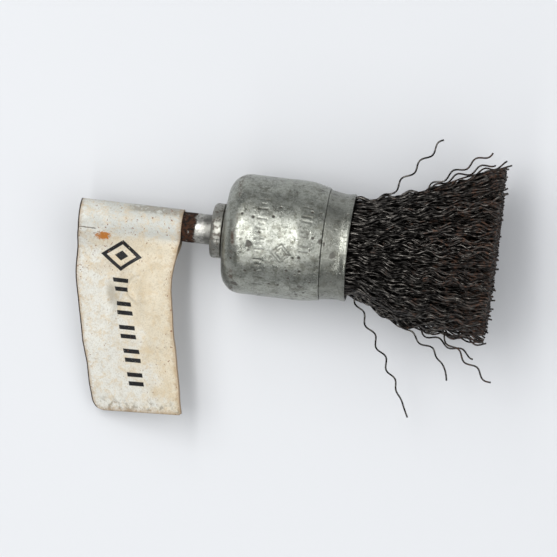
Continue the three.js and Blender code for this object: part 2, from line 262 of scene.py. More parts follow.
def zinc_plate():
    """Dull grey zinc plate: spangled, pitted, with painted shade in its pressed marks, and brown rust
    in a line round the cup's shoulder and in spots on the collar."""
    s = Shader("zinc_plate")
    station = s.attribute("station")
    cloud = s.between(s.noise(3.0, detail=4), 0.36, 0.64)
    spangle = s.between(s.noise(0.42, detail=3, roughness=0.6), 0.4, 0.62)
    plate = s.mix(cloud, (0.205, 0.213, 0.186), (0.33, 0.34, 0.3))
    plate = s.tint(plate, spangle, 0.4, (0.5, 0.51, 0.465))
    olive = s.between(s.noise(1.7, detail=5, roughness=0.7), 0.48, 0.64)
    plate = s.tint(plate, olive, 0.55, (0.105, 0.102, 0.075))
    freckles = s.between(s.noise(0.36, detail=3, roughness=0.65), 0.55, 0.66)
    plate = s.tint(plate, freckles, 0.5, (0.06, 0.056, 0.043))

    pits = s.between(s.cells(1.7), 0.26, 0.1)
    pits = s.times(pits, s.between(s.noise(2.6, detail=1), 0.44, 0.54))
    blots = s.plus(s.cells(5.2), s.spread(s.noise(0.9, detail=4), -0.1, 0.1))
    pits = s.greater(pits, s.times(s.between(blots, 0.17, 0.08), 0.9))
    dark = s.mix(pits, plate, (0.035, 0.03, 0.021))
    dark = s.mix(s.between(station, CUP_REAR + 0.1, CUP_REAR - 0.1), dark, (0.27, 0.268, 0.24))
    on_sleeve = s.between(station, RIM_STATION, RIM_STATION + 0.1)
    dark = s.tint(dark, on_sleeve, 0.4, (0.13, 0.13, 0.112))
    # Painted shade: the pressed marks are darkened.
    dark = s.tint(dark, s.attribute("pressed"), 0.45, (0.07, 0.066, 0.055))

    wander = s.spread(s.noise(2.4, detail=3), -0.5, 0.5)
    from_line = s.math("ABSOLUTE", s.plus(s.minus(station, CUP_RUST_LINE), wander))
    broken = s.between(s.noise(1.0, detail=5, roughness=0.7), 0.4, 0.56)
    line = s.times(s.between(from_line, 0.75, 0.15), broken)
    line = s.times(line, s.between(s.noise(3.4, detail=2), 0.38, 0.58))
    on_collar = s.between(station, CUP_REAR, CUP_REAR - 0.1)
    spots = s.between(s.noise(0.7, detail=4, roughness=0.65), 0.66, 0.73)
    more = s.between(s.noise(0.8, detail=4, roughness=0.65), 0.5, 0.62)
    rust = s.greater(line, s.times(spots, 0.7))
    rust = s.greater(rust, s.times(s.times(more, on_collar), 0.75))
    colour = s.mix(rust, dark, (0.05, 0.028, 0.016))

    scratches = s.noise(0.25, detail=2, at=s.stretched(0.12, 1.0, 1.0))
    grain = s.noise(0.16, detail=3)
    tone = s.plus(s.spread(cloud, 0.27, 0.36), s.spread(grain, -0.05, 0.06))
    roughness = s.math("ADD", tone, s.times(rust, 0.35), clamp=True)
    metallic = s.spread(s.greater(rust, pits), 1.0, 0.15)
    normal = s.bump(grain, 0.022, 0.6)
    normal = s.bump(scratches, 0.02, 0.5, under=normal)
    normal = s.bump(freckles, 0.03, 0.6, under=normal)
    normal = s.bump(s.inverse(pits), 0.09, 1.0, under=normal)
    return s.finish(colour, roughness, metallic, normal)


def shank_steel():
    """Turned steel: dark brown rust next to the label, then bright plate, tarnished at the
    collar."""
    s = Shader("shank_steel")
    station = s.attribute("station")
    blotch = s.noise(1.2, detail=5, roughness=0.65)
    edge = s.plus(station, s.spread(blotch, 1.6, -1.6))
    rusty = s.between(edge, SHANK_RUST_FRONT, SHANK_RUST_FRONT - 0.7)
    flecks = s.between(s.noise(0.5, detail=3), 0.6, 0.68)
    rust = s.greater(rusty, s.times(flecks, 0.5))
    brown = s.mix(s.between(s.noise(0.7, detail=3), 0.35, 0.62),
                  (0.006, 0.0048, 0.004), (0.046, 0.02, 0.0105))
    plate = s.mix(s.between(s.noise(0.8, detail=3), 0.35, 0.65),
                  (0.30, 0.30, 0.275), (0.50, 0.49, 0.455))
    tarnish = s.between(edge, COLLAR_REAR - 2.1, COLLAR_REAR - 1.1)
    plate = s.tint(plate, tarnish, 0.8, (0.13, 0.129, 0.115))
    shiny = s.between(s.noise(0.9, detail=4, roughness=0.7), 0.6, 0.7)
    rust = s.times(rust, s.spread(shiny, 1.0, 0.35))
    colour = s.mix(rust, plate, brown)
    lathe_marks = s.noise(0.12, detail=2, at=s.stretched(1.0, 0.1, 0.1))
    roughness = s.plus(s.spread(rust, 0.36, 0.88), s.spread(blotch, -0.06, 0.06))
    normal = s.bump(lathe_marks, 0.015, 0.5)
    normal = s.bump(s.times(rust, s.noise(0.35, detail=4)), 0.12, 0.8, under=normal)
    return s.finish(colour, roughness, s.spread(rust, 1.0, 0.0), normal,
                    Specular_IOR_Level=0.2)


def wire_steel():
    """Oiled dark wire that gets brown with rust towards its cut end, with painted glints along the wires that are
    brighter near the cup.
    """
    s = Shader("wire_steel")
    tone = s.attribute("tone")
    station = s.attribute("station")
    along_wires = s.stretched(0.3, 1.0, 1.0)
    # Painted glints: streaks of lighter steel colour along the wires, over near-black steel.
    painted_glint = s.between(s.noise(0.55, detail=3, roughness=0.55, at=along_wires), 0.42, 0.66)
    near_tip = s.between(station, 4.0, 30.0)
    # Painted light: each wire's own random tone, raised near the cup so the painted glints there are brighter.
    tone_and_light_near_cup = s.plus(tone, s.spread(near_tip, 0.25, 0.0))
    bright = s.mix(tone_and_light_near_cup, (0.046, 0.042, 0.038), (0.17, 0.158, 0.143))
    steel = s.mix(painted_glint, (0.0075, 0.0066, 0.0062), bright)
    patch = s.noise(2.2, detail=4, roughness=0.65)
    level = s.plus(patch, s.spread(near_tip, -0.13, 0.05))
    level = s.plus(level, s.spread(tone, 0.05, -0.05))
    rust = s.between(level, 0.46, 0.62)
    reddish = s.between(s.noise(0.8, detail=3), 0.42, 0.68)
    brown = s.mix(reddish, (0.009, 0.0055, 0.004), (0.078, 0.03, 0.011))
    colour = s.tint(steel, rust, 0.75, brown)
    fine = s.noise(0.3, detail=3)
    roughness = s.plus(s.spread(rust, 0.32, 0.55), s.spread(fine, -0.06, 0.08))
    normal = s.bump(fine, 0.04, 0.6)
    return s.finish(colour, roughness, s.spread(rust, 0.95, 0.35), normal)


def inner_steel():
    """Plain pressed steel that stays inside the cup."""
    s = Shader("inner_steel")
    blotch = s.noise(1.5, detail=4)
    colour = s.mix(blotch, (0.2, 0.18, 0.16), (0.38, 0.36, 0.33))
    normal = s.bump(s.noise(0.3), 0.03, 0.5)
    return s.finish(colour, s.spread(blotch, 0.4, 0.6), 1.0, normal)


# ---------------------------------------------------------------- meshes


def make_piece(name, points, faces, material, attributes):
    """A smooth-shaded mesh object from points in millimetres along the brush's axes."""
    mesh = bpy.data.meshes.new(name)
    mesh.from_pydata(to_row(points).tolist(), [], faces)
    for label, values in attributes.items():
        layer = mesh.attributes.new(label, "FLOAT", "POINT")
        layer.data.foreach_set("value", np.asarray(values, np.float32))
    mesh.materials.append(material)
    work = bmesh.new()
    work.from_mesh(mesh)
    bmesh.ops.remove_doubles(work, verts=work.verts, dist=1e-6)
    bmesh.ops.recalc_face_normals(work, faces=work.faces)
    work.to_mesh(mesh)
    work.free()
    mesh.polygons.foreach_set("use_smooth", [True] * len(mesh.polygons))
    piece = bpy.data.objects.new(name, mesh)
    bpy.context.scene.collection.objects.link(piece)
    return piece


def grid_faces(rows, columns, rows_close, columns_close):
    """Quads between the points of a grid that are stored row by row."""
    faces = []
    for row in range(rows if rows_close else rows - 1):
        for column in range(columns if columns_close else columns - 1):
            next_row = (row + 1) % rows
            next_column = (column + 1) % columns
            faces.append((row * columns + column, row * columns + next_column,
                          next_row * columns + next_column, next_row * columns + column))
    return faces


def straight(start, end, steps):
    """Profile points (station, radius) from start towards end, without the end itself."""
    return [(lerp(start[0], end[0], i / steps), lerp(start[1], end[1], i / steps))
            for i in range(steps)]


def arc(station, radius, size, from_deg, to_deg, steps):
    """Profile points of an arc. Angle 0 points forwards along the axis, 90 away from it."""
    angles = [math.radians(lerp(from_deg, to_deg, i / steps)) for i in range(steps + 1)]
    return [(station + size * math.cos(a), radius + size * math.sin(a)) for a in angles]


def lathe(name, profile, sides, material, relief=None, marks=None):
    """A profile turned about the axis, closed on itself or ending on the axis. relief gives
    how far the surface stands out, from its points, clock angles and radii, and marks gives
    how much of a pressed mark there is at a station and clock angle."""
    profile = np.array(profile)
    station = np.repeat(profile[:, 0], sides)
    radius = np.repeat(profile[:, 1], sides)
    clock = np.tile(np.arange(sides) * TURN / sides, len(profile))
    if relief:
        around = np.stack([station, radius * np.cos(clock), radius * np.sin(clock)], 1)
        radius = radius + np.where(radius > 0, relief(around, clock, radius), 0)
    points = np.stack([station, radius * np.cos(clock) + crimp_lean(station),
                       radius * np.sin(clock)], 1)
    hollow = profile[0, 1] > 0
    faces = grid_faces(len(profile), sides, hollow, True)
    attributes = {"station": station}
    if marks:
        attributes["pressed"] = marks(station, clock)
    piece = make_piece(name, points, faces, material, attributes)
    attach(piece, "brush")
    return piece


def crimp_lean(station):
    """The cup was crimped a little to one side, so its mouth is off the axis."""
    return -0.4 * smoothstep(station, -11, -1)


# ---------------------------------------------------------------- shank, collar, cup, band


def worn(depth, wavelength, seed):
    """Relief of a surface that has been knocked about."""
    def relief(points, clock, radius):
        broad = ripples(points, wavelength, seed)
        fine = ripples(points, wavelength / 3, seed + 1)
        return depth * (broad + 0.35 * fine)
    return relief


def shank(material):
    chamfer = 0.5
    tenon = 2.5
    head = 3.4
    neck = COLLAR_FRONT - 0.15
    under_head = TENON_FRONT - 0.7
    profile = (
        straight((SHANK_REAR, 0), (SHANK_REAR, SHANK_RADIUS - chamfer), 6)
        + straight((SHANK_REAR, SHANK_RADIUS - chamfer), (SHANK_REAR + chamfer, SHANK_RADIUS), 4)
        + straight((SHANK_REAR + chamfer, SHANK_RADIUS), (neck, SHANK_RADIUS), 90)
        + straight((neck, SHANK_RADIUS), (neck, tenon), 3)
        + straight((neck, tenon), (under_head, tenon), 6)
        + straight((under_head, tenon), (under_head, head), 3)
        + straight((under_head, head), (TENON_FRONT, tenon), 4)
        + straight((TENON_FRONT, tenon), (TENON_FRONT, 0), 5)
        + [(TENON_FRONT, 0)]
    )
    return lathe("steel_shank", profile, 72, material, worn(0.025, 4, 11))


def shank_collar(material):
    edge = 0.9
    front_edge = 0.2
    bore = SHANK_RADIUS + 0.02
    profile = (
        [(COLLAR_REAR + 0.15, bore)]
        + arc(COLLAR_REAR + 0.3, bore + 0.15, 0.15, 225, 180, 3)
        + straight((COLLAR_REAR, bore + 0.3), (COLLAR_REAR, COLLAR_RADIUS - edge), 5)
        + arc(COLLAR_REAR + edge, COLLAR_RADIUS - edge, edge, 180, 90, 12)
        + straight((COLLAR_REAR + edge + 0.1, COLLAR_RADIUS),
                   (COLLAR_FRONT - front_edge, COLLAR_RADIUS), 8)
        + arc(COLLAR_FRONT - front_edge, COLLAR_RADIUS - front_edge, front_edge, 90, 0, 4)
        + straight((COLLAR_FRONT, COLLAR_RADIUS - 0.5), (COLLAR_FRONT, bore), 3)
        + [(COLLAR_FRONT, bore)]
    )
    return lathe("riveted_collar", profile, 120, material, worn(0.035, 3, 21))


# The marks pressed into the cup: the stations of the two rows of strokes, and of the diamond
REAR_ROW = -17.4
FRONT_ROW = -8.6
DIAMOND_ROW = -13.0
DIAMOND_CLOCK_DEG = 106


def pressed_marks():
    """Plain tool marks pressed into the cup: (station, clock in degrees, half length along
    the axis, half width round it), a row of fine strokes near each end."""
    marks = []
    for i, clock in enumerate(range(34, 150, 5)):
        if i % 4 != 3:
            marks.append((REAR_ROW, clock, (0.95, 0.5, 0.95)[i % 4], 0.09))
    for i, clock in enumerate(range(52, 104, 5)):
        if i % 3 != 2:
            marks.append((FRONT_ROW, clock, 0.95, 0.14))
    for i, clock in enumerate(range(200, 340, 6)):
        if i % 5 != 4:
            marks.append((REAR_ROW, clock, 0.8, 0.1))
    return marks


def pressed(station, clock):
    """How deep the marks are pressed at a place on the cup, from 0 to 1: strokes, and a
    diamond outline between them."""
    around = CUP_RADIUS * clock
    depth = np.zeros(len(station))
    for at, clock_deg, half_length, half_width in pressed_marks():
        across = np.abs(around - CUP_RADIUS * math.radians(clock_deg))
        outside = np.maximum(np.abs(station - at) - half_length, across - half_width)
        depth = np.maximum(depth, 1 - smoothstep(outside, -0.04, 0.13))
    diamond_middle = CUP_RADIUS * math.radians(DIAMOND_CLOCK_DEG)
    from_middle = np.abs(station - DIAMOND_ROW) + np.abs(around - diamond_middle)
    for size in (1.9, 1.15):
        depth = np.maximum(depth, 1 - smoothstep(np.abs(from_middle - size), 0.06, 0.26))
    return depth


def cup_relief(points, clock, radius):
    """Dents, pits and pressed marks. The inside keeps only the broad dents."""
    station = points[:, 0]
    relief = worn(0.06, 8, 31)(points, clock, radius)
    outside = radius > CUP_RADIUS - 0.75
    arc_length = CUP_RADIUS * clock
    around = CUP_RADIUS * TURN
    depth = 0.09 * pressed(station, clock)
    draw = np.random.default_rng(32)
    for _ in range(70):
        at = draw.uniform(-22.5, RIM_STATION)
        place = draw.uniform(0, around)
        size = draw.uniform(0.16, 0.45)
        apart = np.abs(arc_length - place)
        distance = np.hypot(station - at, np.minimum(apart, around - apart))
        depth = np.maximum(depth, 0.2 * size * (1 - smoothstep(distance, 0.2 * size, size)))
    return relief - np.where(outside, depth, 0)


def cup_shell(material):
    wall = 0.8
    hole = 2.65
    shoulder = 4.0
    dome_deg = 164
    taper_start = -10.5
    taper_power = 1.6
    rim_radius = girth("cup_shell", low=RIM_STATION - 0.01)
    rim_edge = 0.18
    shoulder_station = CUP_REAR + 0.4 + shoulder
    centre = CUP_RADIUS - shoulder

    def taper(station):
        along = (station - taper_start) / (RIM_STATION - taper_start)
        return CUP_RADIUS - (CUP_RADIUS - rim_radius) * along ** taper_power

    outer = arc(shoulder_station, centre, shoulder, dome_deg, 90, 26)
    inner = arc(shoulder_station, centre, shoulder - wall, 90, dome_deg, 12)
    slope = [lerp(taper_start, RIM_STATION - rim_edge, i / 34) for i in range(35)]
    profile = (
        straight((CUP_REAR, hole), (CUP_REAR, COLLAR_RADIUS), 4)
        + straight((CUP_REAR, COLLAR_RADIUS), outer[0], 8)
        + outer[:-1]
        + straight(outer[-1], (taper_start, CUP_RADIUS), 84)
        + [(station, taper(station)) for station in slope]
        + arc(RIM_STATION - rim_edge, rim_radius - rim_edge, rim_edge, 70, -70, 6)
        + [(station, taper(station) - 0.42) for station in slope[::-4]]
        + straight((taper_start - 1.5, CUP_RADIUS - wall), inner[0], 10)
        + inner
        + straight((CUP_REAR + wall, COLLAR_RADIUS), (CUP_REAR + wall, hole), 3)
        + [(CUP_REAR + wall, hole)]
    )
    return lathe("cup", profile, 400, material, cup_relief, pressed)


def mouth_band(material):
    wall = 0.65
    tucked = 10.7
    step_radius = 11.05
    waist_station = -1.6
    waist = 10.6
    lip = 10.8
    step_station = RIM_STATION + 0.1
    lip_station = -wall / 2
    hollow = [lerp(step_station, waist_station, i / 24) for i in range(25)]
    profile = (
        straight((BAND_REAR, tucked), (RIM_STATION - 0.1, tucked), 14)
        + [(RIM_STATION - 0.04, tucked + 0.1), (RIM_STATION + 0.06, step_radius - 0.06)]
        + [(s, waist + (step_radius - waist)
            * ((waist_station - s) / (waist_station - step_station)) ** 1.7) for s in hollow]
        + [(s, waist + (lip - waist) * float(smoothstep(s, waist_station, lip_station)))
           for s in (-1.3, -1.0, -0.75, -0.5)]
        + arc(lip_station, lip - wall / 2, wall / 2, 80, -80, 10)
        + straight((waist_station, waist - wall), (BAND_REAR, tucked - wall), 20)
        + [(BAND_REAR, tucked - wall)]
    )
    return lathe("mouth_sleeve", profile, 260, material, worn(0.045, 6, 41))


# ---------------------------------------------------------------- wires

WIRE_RADIUS = 0.19
WIRE_SIDES = 5
WIRE_COUNT = 1300
CLUMP_COUNT = 300
CRIMP_LENGTH = 5.1
CRIMP_HEIGHT = 0.52
NECK_RADIUS = 9.75
TIP_RADIUS = 17.2
TIP_OFFSET = 2.35
GOLDEN_TURN = TURN * (3 - math.sqrt(5)) / 2


def bundle_radius(station, clock):
    """Outside radius of the bundle, as in the CAD tufts: the -Y side opens early and then runs
    straight, the +Y side keeps opening."""
    tip = TIP_OFFSET * np.cos(clock) + np.sqrt(TIP_RADIUS ** 2 - (TIP_OFFSET * np.sin(clock)) ** 2)
    late = (np.maximum(station, 0) / TRIM_STATION) ** 1.35
    early = smoothstep(station, 0, 13)
    opening = lerp(late, early, (1 - np.cos(clock)) / 2)
    return lerp(NECK_RADIUS, tip, opening)


def floor_depth(station):
    """How low a wire's middle can lie at a station before the wire meets the floor."""
    return -(MOUTH.z / MM + station * AXIS.z) / UP.z + 1.3 * WIRE_RADIUS


def tubes(name, paths, material, tones):
    """Round wires along paths, an array of wires by points by (station, side, up)."""
    wires, steps, _ = paths.shape
    tangent = np.gradient(paths, axis=1)
    tangent /= np.linalg.norm(tangent, axis=2, keepdims=True)
    across = np.cross(tangent, (0.0, 0.0, 1.0))
    across /= np.linalg.norm(across, axis=2, keepdims=True)
    over = np.cross(tangent, across)
    angle = np.arange(WIRE_SIDES) * TURN / WIRE_SIDES
    ring = (across[:, :, None] * np.cos(angle)[:, None]
            + over[:, :, None] * np.sin(angle)[:, None]) * WIRE_RADIUS
    points = (paths[:, :, None] + ring).reshape(-1, 3)
    faces = []
    one = grid_faces(steps, WIRE_SIDES, False, True)
    start_cap = tuple(range(WIRE_SIDES))
    end_cap = tuple((steps - 1) * WIRE_SIDES + side for side in reversed(range(WIRE_SIDES)))
    for wire in range(wires):
        first = wire * steps * WIRE_SIDES
        faces += [tuple(first + corner for corner in face) for face in one + [start_cap, end_cap]]
    attributes = {"station": points[:, 0], "tone": np.repeat(tones, steps * WIRE_SIDES)}
    piece = make_piece(name, points, faces, material, attributes)
    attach(piece, "brush")
    return piece


def sunflower(count, radius):
    """Points spread evenly over a disc, as radii and clock angles."""
    order = np.arange(count)
    return radius * np.sqrt((order + 0.5) / count), (order * GOLDEN_TURN) % TURN


def wire_paths():
    """The middle of every wire of the bundle, and the clock angle where each leaves the cup."""
    draw = np.random.default_rng(7)
    start_radius, clock = sunflower(WIRE_COUNT, 0.98 * NECK_RADIUS)
    side = start_radius * np.cos(clock) + draw.normal(0, 0.1, WIRE_COUNT)
    up = start_radius * np.sin(clock) + draw.normal(0, 0.1, WIRE_COUNT)

    clump_radius, clump_clock = sunflower(CLUMP_COUNT, NECK_RADIUS)
    clump_side = clump_radius * np.cos(clump_clock) + draw.normal(0, 0.25, CLUMP_COUNT)
    clump_up = clump_radius * np.sin(clump_clock) + draw.normal(0, 0.25, CLUMP_COUNT)
    apart = np.hypot(side[:, None] - clump_side, up[:, None] - clump_up)
    clump = apart.argmin(1)

    def by_clump(values):
        return values[clump][:, None]

    on_low_side = (1 - np.cos(clock)) / 2
    own_end = TRIM_STATION - 0.05 + 0.02 * side + draw.normal(0, 0.16, WIRE_COUNT)
    proud = draw.random(WIRE_COUNT) < 0.03
    own_end += np.where(proud, draw.uniform(0.3, 0.9, WIRE_COUNT), 0)
    steps = 56
    station = lerp(-3.0, own_end[:, None], np.linspace(0, 1, steps)[None, :])
    along = np.clip(station / TRIM_STATION, 0, 1)

    scale = bundle_radius(station, clock[:, None]) / NECK_RADIUS
    gather = 0.38 * along
    path_side = lerp(side[:, None], by_clump(clump_side), gather) * scale
    path_up = lerp(up[:, None], by_clump(clump_up), gather) * scale

    drift = 0.55 * along ** 1.4
    sway_phase = by_clump(draw.uniform(0, TURN, CLUMP_COUNT))
    sway = 0.4 * np.sin(station * TURN / 17 + sway_phase) * along
    path_side += drift * by_clump(draw.normal(0, 1, CLUMP_COUNT)) + sway
    path_up += drift * by_clump(draw.normal(0, 1, CLUMP_COUNT)) + sway * 0.6
    loose = 0.45 * along ** 1.3
    path_side += loose * draw.normal(0, 1, WIRE_COUNT)[:, None]
    path_up += loose * draw.normal(0, 1, WIRE_COUNT)[:, None]

    wavelength = CRIMP_LENGTH * by_clump(draw.normal(1, 0.07, CLUMP_COUNT))
    wavelength = wavelength * draw.normal(1, 0.02, WIRE_COUNT)[:, None]
    phase = by_clump(draw.uniform(0, TURN, CLUMP_COUNT))
    phase = phase + draw.normal(0, 0.42, WIRE_COUNT)[:, None]
    height = CRIMP_HEIGHT * draw.normal(1, 0.12, WIRE_COUNT)[:, None]
    height = height * lerp(0.55, 1.0, smoothstep(station, -1, 6))
    lean = clock[:, None] + TURN / 4 + by_clump(draw.normal(0, 1.0, CLUMP_COUNT))
    lean = lean + draw.normal(0, 0.35, WIRE_COUNT)[:, None]
    splay = np.minimum(draw.exponential(0.5, WIRE_COUNT), 1.3) * lerp(0.8, 2.0, on_low_side)
    splay = (splay * (start_radius > 0.9 * NECK_RADIUS))[:, None] * smoothstep(along, 0.3, 1.1)
    path_side += splay * np.cos(clock)[:, None]
    path_up += splay * np.sin(clock)[:, None]
    wave = height * np.sin(station * TURN / wavelength + phase)
    path_side += wave * np.cos(lean) + crimp_lean(np.minimum(station, 0)) * (1 - along)
    path_up += wave * np.sin(lean)
    path_up = np.maximum(path_up, floor_depth(station))
    return np.stack([station, path_side, path_up], 2), clock


def wire_bundle(material):
    """One piece for each CAD tuft: the wires that leave the cup inside the tuft's sector."""
    paths, clock = wire_paths()
    tone = np.random.default_rng(8).beta(2.0, 2.4, WIRE_COUNT)
    sector = np.round(clock / TURN * len(TUFTS)).astype(int) % len(TUFTS)
    for index, node in enumerate(TUFTS):
        mine = sector == index
        piece = tubes(f"crimped_wires_{index + 1:02d}", paths[mine], material, tone[mine])
        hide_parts(node)


# How each stray wire bends: how far its middle bows forwards, in millimetres, and the share of
# its free length after which it is straight.
STRAY_SHAPES = {
    "stray_wire_4": (1.2, 0.6),
    "stray_wire_5": (4.6, 0.45),
    "stray_wire_7": (-0.6, 1.0),
}


def stray_path(node):
    """From inside the cup along the bundle's surface, then out to the CAD wire's far end."""
    bow, straight_from = STRAY_SHAPES.get(node, (0.0, 1.0))
    cad = local_points(node, MOUTH)
    leave = cad[cad[:, 0] < cad[:, 0].min() + 0.5].mean(0)
    end = cad[cad[:, 0] > cad[:, 0].max() - 0.3].mean(0)
    clock = math.atan2(leave[2], leave[1])
    inside = np.linspace(-3, leave[0], 30, endpoint=False)
    radius = bundle_radius(inside, clock) - 0.2
    hidden = np.stack([inside, radius * math.cos(clock), radius * math.sin(clock)], 1)
    middle = (leave + end) / 2 + np.array([bow, 0, 0])
    t = np.linspace(0, 1, 60)[:, None]
    free = (1 - t) ** 2 * leave + 2 * t * (1 - t) * middle + t ** 2 * end
    spine = np.concatenate([hidden, free])
    lengths = np.concatenate([[0], np.cumsum(np.linalg.norm(np.diff(spine, axis=0), axis=1))])
    steps = int(lengths[-1] / 0.5)
    even = np.linspace(0, lengths[-1], steps)
    spine = np.stack([np.interp(even, lengths, spine[:, axis]) for axis in range(3)], 1)
    for _ in range(6):
        spine[1:-1] = (spine[:-2] + 2 * spine[1:-1] + spine[2:]) / 4
    tangent = np.gradient(spine, axis=0)
    across = np.cross(tangent, (0.0, 0.0, 1.0))
    across /= np.linalg.norm(across, axis=1, keepdims=True)
    share = np.clip((even - lengths[30]) / (lengths[-1] - lengths[30]), 0, 1)
    fade = 1 - smoothstep(share, straight_from, straight_from + 0.35)
    wave = CRIMP_HEIGHT * fade * np.sin(even * TURN / CRIMP_LENGTH)
    return spine + across * wave[:, None]


def stray_wires(material):
    for index, node in enumerate(STRAYS):
        path = stray_path(node)
        piece = tubes(f"loose_wire_{index + 1}", path[None], material, np.array([0.4]))
        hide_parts(node)


# ---------------------------------------------------------------- label

LABEL_FRONT = COLLAR_REAR - 6
LABEL_WIDTH = 20.8
LABEL_REACH = 38.2
LABEL_MIDDLE = LABEL_FRONT - LABEL_WIDTH / 2
PLY_THICKNESS = 0.26
LOOP_RADIUS = 3.3
LOOP_REACH = 6.2
FLAG_TWIST = math.radians(-25.5)
FLAG_TWIST_START = 1.5
FLAG_LEAN = 0.225
FLAG_LEAN_START = 12
FLAG_SETBACK = 0.6
FLAG_DROOP = 3.4
FLAG_SKEW = 0.06
REAR_CORNER_RADIUS = 2.4
FRONT_CORNER_RADIUS = 0.8
LABEL_COLUMNS = 72


def ply_path():
    """The strip's middle line in section: in along the upper ply, round the shank, and out
    again below. The first number is the distance from the shank's axis, the second the height."""
    gap = 0.56 * PLY_THICKNESS
    leave = math.acos(LOOP_RADIUS / LOOP_REACH)
    angles = np.linspace(leave, TURN - leave, 90)
    loop = np.stack([LOOP_RADIUS * np.cos(angles), LOOP_RADIUS * np.sin(angles)], 1)
    inwards = np.stack([np.linspace(LABEL_REACH, LOOP_REACH, 92), np.full(92, gap)], 1)
    down = np.linspace(inwards[-1], loop[0], 26)[1:-1]
    upper = np.concatenate([inwards, down])
    lower = upper[::-1] * (1, -1)
    path = np.concatenate([upper, loop, lower])
    for _ in range(14):
        path[1:-1] = (path[:-2] + 2 * path[1:-1] + path[2:]) / 4
    return path


def corner_inset(distance, corner_radius):
    """How far a rounded corner has cut into the flag's edge."""
    into = np.maximum(0, distance - (LABEL_REACH - corner_radius))
    return corner_radius - np.sqrt(np.maximum(0, corner_radius ** 2 - into ** 2))


def hill(station, out, at_station, at_out, long, wide, turn_deg):
    """A soft oval hill of height 1, long along the flag's length when its turn is 0."""
    turn = math.radians(turn_deg)
    ds, do = station - at_station, out - at_out
    u = (do * math.cos(turn) + ds * math.sin(turn)) / long
    v = (ds * math.cos(turn) - do * math.sin(turn)) / wide
    return np.exp(-(u * u + v * v))


# Dents and bumps of the flag: how far each stands up, the station and the distance from the
# shank's axis of its middle, its length and width, and its turn in degrees
FLAG_DENTS = (
    (-1.05, -46.3, 15.2, 5.2, 1.3, -8),
    (0.65, -39.8, 14.6, 3.4, 1.5, 10),
    (0.5, -51.5, 24, 9, 2.2, 12),
    (-0.35, -38.5, 24, 6, 2.0, 0),
)

# A crease that runs round part of a circle
CREASE_STATION = -40.9
CREASE_OUT = 13.4
CREASE_RADIUS = 2.3
CREASE_HEIGHT = 0.75


def dents(station, out):
    """How far the flag stands up where it has been dented, creased and handled."""
    place = np.stack([station, out], 1)
    lift = 0.16 * ripples(place, 9, 51) + 0.05 * ripples(place, 3.2, 52)
    for height, *where in FLAG_DENTS:
        lift += height * hill(station, out, *where)
    from_middle = np.hypot(station - CREASE_STATION, out - CREASE_OUT)
    crease = np.exp(-((from_middle - CREASE_RADIUS) / 0.38) ** 2)
    lift += CREASE_HEIGHT * crease * smoothstep(-station, 40.6, 42.2)
    return lift * smoothstep(out, 3.4, 8.5)


def flag_point(distance, height, share):
    """A point of the strip bent as the flag is: its front edge up and its rear edge down as soon
    as it leaves the shank, its end leaning forwards. share runs from the front to the rear."""
    distance_out = np.maximum(distance, 0)
    along = distance_out / LABEL_REACH
    front = corner_inset(distance_out, FRONT_CORNER_RADIUS)
    rear = LABEL_WIDTH - corner_inset(distance_out, REAR_CORNER_RADIUS)
    across = lerp(front, rear, share) - LABEL_WIDTH / 2
    past_shank = np.maximum(distance - SHANK_RADIUS, 0)
    twist = FLAG_TWIST * (past_shank / (LABEL_REACH - SHANK_RADIUS)) ** 0.33
    twist *= 1 - np.exp(-past_shank / FLAG_TWIST_START)
    out = distance + FLAG_SKEW * across * along ** 2
    further = distance_out - FLAG_LEAN_START
    shift = FLAG_LEAN * (np.sqrt(further ** 2 + 9) + further) / 2
    shift -= FLAG_SETBACK * smoothstep(distance, 2, 11)
    station = LABEL_MIDDLE + shift - across * np.cos(twist)
    lift = height + dents(station, out)
    station = station + lift * np.sin(twist)
    up = across * np.sin(twist) + lift * np.cos(twist) - FLAG_DROOP * along ** 1.6
    return np.stack([station, -out, up], -1), across


def label(material):
    """The strip as one closed skin: its outer face, then its inner face back again."""
    path = ply_path()
    steps = len(path)
    tangent = np.gradient(path, axis=0)
    tangent /= np.linalg.norm(tangent, axis=1, keepdims=True)
    outwards = np.stack([-tangent[:, 1], tangent[:, 0]], 1)
    if outwards[0, 1] < 0:
        outwards = -outwards
    skin = np.concatenate([path + outwards * PLY_THICKNESS / 2,
                           (path - outwards * PLY_THICKNESS / 2)[::-1]])
    share = np.linspace(0, 1, LABEL_COLUMNS)
    distance = np.repeat(skin[:, 0], LABEL_COLUMNS)
    height = np.repeat(skin[:, 1], LABEL_COLUMNS)
    points, across = flag_point(distance, height, np.tile(share, len(skin)))
    faces = grid_faces(len(skin), LABEL_COLUMNS, True, False)
    for column in (0, LABEL_COLUMNS - 1):
        for i in range(steps - 1):
            opposite = 2 * steps - 1 - i
            faces.append(tuple(row * LABEL_COLUMNS + column
                               for row in (i, i + 1, opposite - 1, opposite)))
    from_end = LABEL_REACH - distance
    from_sides = LABEL_WIDTH / 2 - np.abs(across)
    corner = corner_inset(np.maximum(distance, 0), REAR_CORNER_RADIUS) * (across > 0)
    edge = np.minimum(from_end, from_sides - corner)
    attributes = {"along": distance, "across": across, "edge": edge,
                  "underside": (height < 0).astype(float)}
    piece = make_piece("folded_label", points, faces, material, attributes)
    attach(piece, "tag")
    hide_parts("label_tag")


